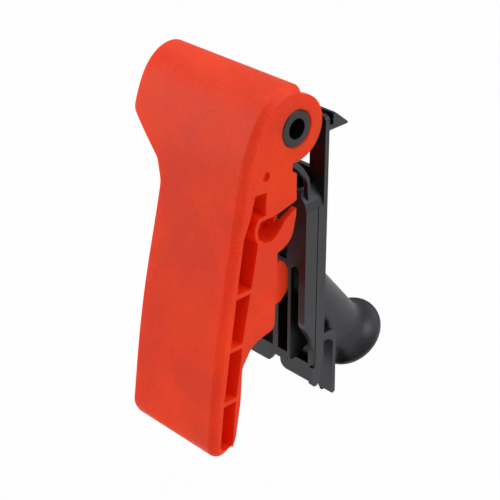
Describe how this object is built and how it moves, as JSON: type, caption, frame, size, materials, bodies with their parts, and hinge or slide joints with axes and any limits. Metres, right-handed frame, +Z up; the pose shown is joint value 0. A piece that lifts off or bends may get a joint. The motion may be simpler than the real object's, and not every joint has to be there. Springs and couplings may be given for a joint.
{
  "type": "hood release handle",
  "caption": "Hood release handle: hollow moulded pull lever on a pivot pin, in a bracket with panel hooks, spring clips and a bell-mouthed cable guide tube.",
  "frame": {"origin": "on the bracket's rear face, where it lies on the panel: centre of its width, 27 mm below the lever's pivot axis", "axes": "+Y back into the panel, +Z up along the bracket, +X along the pivot axis towards the lever's open side; the driver pulls the lever's lower end along -Y"},
  "size_m": [0.0601, 0.0857, 0.1248],
  "materials": {
    "lever": "satin, moulded in red",
    "pin": "smooth moulded black",
    "bracket": "fine-grained moulded black"
  },
  "bodies": {
    "bracket_body": {"bracket": "bracket", "pivot_pin": "pin"},
    "lever_body": {"release_lever": "lever"}
  },
  "joints": [
    {"name": "lever_pivot", "type": "hinge", "parent": "bracket_body", "child": "lever_body", "pos_m": [0.018, -0.015, 0.027], "axis": [-1, 0, 0], "range_deg": [0, 40]}
  ]
}
